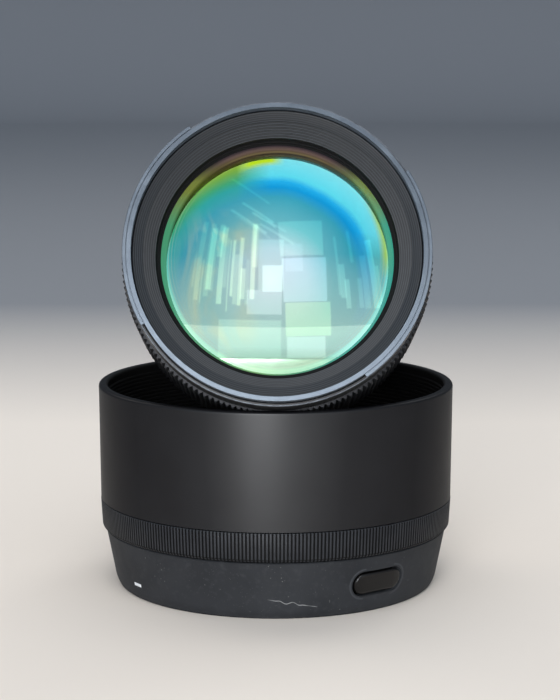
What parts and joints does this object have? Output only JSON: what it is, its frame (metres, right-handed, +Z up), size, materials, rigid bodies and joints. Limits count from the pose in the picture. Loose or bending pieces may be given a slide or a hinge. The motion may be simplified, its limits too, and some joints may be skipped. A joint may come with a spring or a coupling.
{
  "type": "prime camera lens",
  "caption": "Fast prime camera lens resting across its detached lens hood, with focus and aperture rings, iris, switches and camera bayonet.",
  "frame": {"origin": "on the table under the middle of the whole outline, hood and lens together", "axes": "+Z up, -Y the way the front glass looks, +X to the right seen from the front"},
  "size_m": [0.1004, 0.1128, 0.1375],
  "materials": {
    "satin_black_shell": "satin moulded black",
    "ribbed_black_rubber": "fine ribs, matte",
    "matte_grey_black_rubber": "smooth dead matte",
    "gloss_black_plastic": "polished black",
    "black_anodised_barrel": "fine satin black anodising",
    "blue_grey_front_ring": "satin edge that catches the light",
    "matte_black_baffle": "dead matte",
    "grooved_grey_baffle": "fine anti-glare grooves",
    "machined_aluminium": "machined",
    "black_aluminium": "black anodised",
    "chromed_brass_mount": "brushed chrome",
    "screw_steel": "plain",
    "blackened_blade_steel": "blackened",
    "mount_seal_rubber": "matte",
    "gold_contacts_on_black": "gold pads in black plastic",
    "green_circuit_board": "solder mask",
    "motor_can_steel": "plain",
    "coated_front_glass": "multicoated, green and blue reflections",
    "coated_inner_glass": "multicoated"
  },
  "bodies": {
    "hood": {"hood_shade": "satin_black_shell", "hood_grip_band": "ribbed_black_rubber", "hood_rubber_sleeve": "matte_grey_black_rubber"},
    "hood_button": {"hood_lock_button": "gloss_black_plastic"},
    "lens_barrel": {"front_ring": "blue_grey_front_ring", "front_barrel": "black_anodised_barrel", "front_baffle_ring": "grooved_grey_baffle", "front_retaining_ring": "matte_black_baffle", "main_barrel": "black_aluminium", "switch_panel": "black_anodised_barrel", "rear_barrel": "black_anodised_barrel", "mount_flange": "chromed_brass_mount", "mount_seal": "mount_seal_rubber", "mount_screw_1": "screw_steel", "mount_screw_2": "screw_steel", "mount_screw_3": "screw_steel", "mount_screw_4": "screw_steel", "contact_block": "gold_contacts_on_black", "rear_baffle": "matte_black_baffle", "front_glass": "coated_front_glass", "second_glass": "coated_inner_glass", "third_glass": "coated_inner_glass", "fourth_glass": "coated_inner_glass", "rear_group_front_glass": "coated_inner_glass", "rear_group_middle_glass": "coated_inner_glass", "rear_glass": "coated_inner_glass", "front_cell": "matte_black_baffle", "rear_cell": "matte_black_baffle", "iris_base": "black_aluminium", "iris_cover": "black_aluminium", "guide_rod_1": "screw_steel", "guide_rod_2": "screw_steel", "focus_motor": "motor_can_steel", "circuit_board": "green_circuit_board"},
    "focus_ring": {"focus_grip": "ribbed_black_rubber", "focus_ring_sleeve": "machined_aluminium"},
    "focus_group": {"focus_cell": "black_aluminium", "focus_glass": "coated_inner_glass"},
    "lead_screw": {"lead_screw": "screw_steel"},
    "aperture_ring": {"aperture_ring": "black_anodised_barrel"},
    "iris_ring": {"iris_drive_ring": "machined_aluminium"},
    "focus_mode_switch": {"focus_mode_switch": "gloss_black_plastic"},
    "click_switch": {"click_switch": "gloss_black_plastic"},
    "aperture_lock_switch": {"aperture_lock_switch": "gloss_black_plastic"},
    "focus_hold_button": {"focus_hold_button": "gloss_black_plastic"},
    "iris_blade_1": {"iris_blade_1": "blackened_blade_steel"},
    "iris_blade_2": {"iris_blade_2": "blackened_blade_steel"},
    "iris_blade_3": {"iris_blade_3": "blackened_blade_steel"},
    "iris_blade_4": {"iris_blade_4": "blackened_blade_steel"},
    "iris_blade_5": {"iris_blade_5": "blackened_blade_steel"},
    "iris_blade_6": {"iris_blade_6": "blackened_blade_steel"},
    "iris_blade_7": {"iris_blade_7": "blackened_blade_steel"},
    "iris_blade_8": {"iris_blade_8": "blackened_blade_steel"},
    "iris_blade_9": {"iris_blade_9": "blackened_blade_steel"}
  },
  "joints": [
    {"name": "lens_lift", "type": "slide", "parent": "hood", "child": "lens_barrel", "axis": [0, 0, 1], "range_m": [0, 0.12]},
    {"name": "hood_lock_press", "type": "slide", "parent": "hood", "child": "hood_button", "axis": [-0.5948, 0.8039, 0], "range_m": [0, 0.001], "stiffness_N_per_m": 800},
    {"name": "focus_turn", "type": "hinge", "parent": "lens_barrel", "child": "focus_ring", "pos_m": [0.0005, -0.01598, 0.09116], "axis": [0, -0.9605, 0.2783], "range_deg": [0, 150]},
    {"name": "focus_travel", "type": "slide", "parent": "lens_barrel", "child": "focus_group", "axis": [0, 0.9605, -0.2783], "range_m": [0, 0.006]},
    {"name": "lead_screw_turn", "type": "hinge", "parent": "lens_barrel", "child": "lead_screw", "pos_m": [-0.00452, 0.00558, 0.05527], "axis": [0, -0.9605, 0.2783], "range_deg": [0, 720.01]},
    {"name": "aperture_turn", "type": "hinge", "parent": "lens_barrel", "child": "aperture_ring", "pos_m": [0.0005, 0.02349, 0.07972], "axis": [0, -0.9605, 0.2783], "range_deg": [0, 70]},
    {"name": "iris_ring_turn", "type": "hinge", "parent": "lens_barrel", "child": "iris_ring", "pos_m": [0.0005, -0.00263, 0.08729], "axis": [0, -0.9605, 0.2783], "range_deg": [0, 16]},
    {"name": "iris_blade_1_turn", "type": "hinge", "parent": "lens_barrel", "child": "iris_blade_1", "pos_m": [0.0225, -0.0009, 0.08679], "axis": [0, -0.9605, 0.2783], "range_deg": [0, 40]},
    {"name": "iris_blade_2_turn", "type": "hinge", "parent": "lens_barrel", "child": "iris_blade_2", "pos_m": [0.01735, 0.00303, 0.10037], "axis": [0, -0.9605, 0.2783], "range_deg": [0, 40]},
    {"name": "iris_blade_3_turn", "type": "hinge", "parent": "lens_barrel", "child": "iris_blade_3", "pos_m": [0.00432, 0.00513, 0.1076], "axis": [0, -0.9605, 0.2783], "range_deg": [0, 40]},
    {"name": "iris_blade_4_turn", "type": "hinge", "parent": "lens_barrel", "child": "iris_blade_4", "pos_m": [-0.0105, 0.0044, 0.10509], "axis": [0, -0.9605, 0.2783], "range_deg": [0, 40]},
    {"name": "iris_blade_5_turn", "type": "hinge", "parent": "lens_barrel", "child": "iris_blade_5", "pos_m": [-0.02017, 0.00119, 0.09401], "axis": [0, -0.9605, 0.2783], "range_deg": [0, 40]},
    {"name": "iris_blade_6_turn", "type": "hinge", "parent": "lens_barrel", "child": "iris_blade_6", "pos_m": [-0.02017, -0.003, 0.07956], "axis": [0, -0.9605, 0.2783], "range_deg": [0, 40]},
    {"name": "iris_blade_7_turn", "type": "hinge", "parent": "lens_barrel", "child": "iris_blade_7", "pos_m": [-0.0105, -0.00621, 0.06849], "axis": [0, -0.9605, 0.2783], "range_deg": [0, 40]},
    {"name": "iris_blade_8_turn", "type": "hinge", "parent": "lens_barrel", "child": "iris_blade_8", "pos_m": [0.00432, -0.00693, 0.06598], "axis": [0, -0.9605, 0.2783], "range_deg": [0, 40]},
    {"name": "iris_blade_9_turn", "type": "hinge", "parent": "lens_barrel", "child": "iris_blade_9", "pos_m": [0.01735, -0.00484, 0.0732], "axis": [0, -0.9605, 0.2783], "range_deg": [0, 40]},
    {"name": "focus_mode_switch_slide", "type": "slide", "parent": "lens_barrel", "child": "focus_mode_switch", "axis": [-0.342, 0.2615, 0.9026], "range_m": [0, 0.003]},
    {"name": "click_switch_slide", "type": "slide", "parent": "lens_barrel", "child": "click_switch", "axis": [-0.342, -0.2615, -0.9026], "range_m": [0, 0.003]},
    {"name": "aperture_lock_switch_slide", "type": "slide", "parent": "lens_barrel", "child": "aperture_lock_switch", "axis": [0.0872, -0.2773, -0.9568], "range_m": [0, 0.003]},
    {"name": "focus_hold_press", "type": "slide", "parent": "lens_barrel", "child": "focus_hold_button", "axis": [-0.6691, -0.2068, -0.7138], "range_m": [0, 0.0004], "stiffness_N_per_m": 600}
  ],
  "couplings": [
    {"joint": "focus_travel", "follows": "focus_turn", "m_per_rad": 0.0022918},
    {"joint": "lead_screw_turn", "follows": "focus_turn", "ratio": 4.8},
    {"joint": "iris_ring_turn", "follows": "aperture_turn", "ratio": 0.22857},
    {"joint": "iris_blade_1_turn", "follows": "aperture_turn", "ratio": 0.57143},
    {"joint": "iris_blade_2_turn", "follows": "aperture_turn", "ratio": 0.57143},
    {"joint": "iris_blade_3_turn", "follows": "aperture_turn", "ratio": 0.57143},
    {"joint": "iris_blade_4_turn", "follows": "aperture_turn", "ratio": 0.57143},
    {"joint": "iris_blade_5_turn", "follows": "aperture_turn", "ratio": 0.57143},
    {"joint": "iris_blade_6_turn", "follows": "aperture_turn", "ratio": 0.57143},
    {"joint": "iris_blade_7_turn", "follows": "aperture_turn", "ratio": 0.57143},
    {"joint": "iris_blade_8_turn", "follows": "aperture_turn", "ratio": 0.57143},
    {"joint": "iris_blade_9_turn", "follows": "aperture_turn", "ratio": 0.57143}
  ]
}
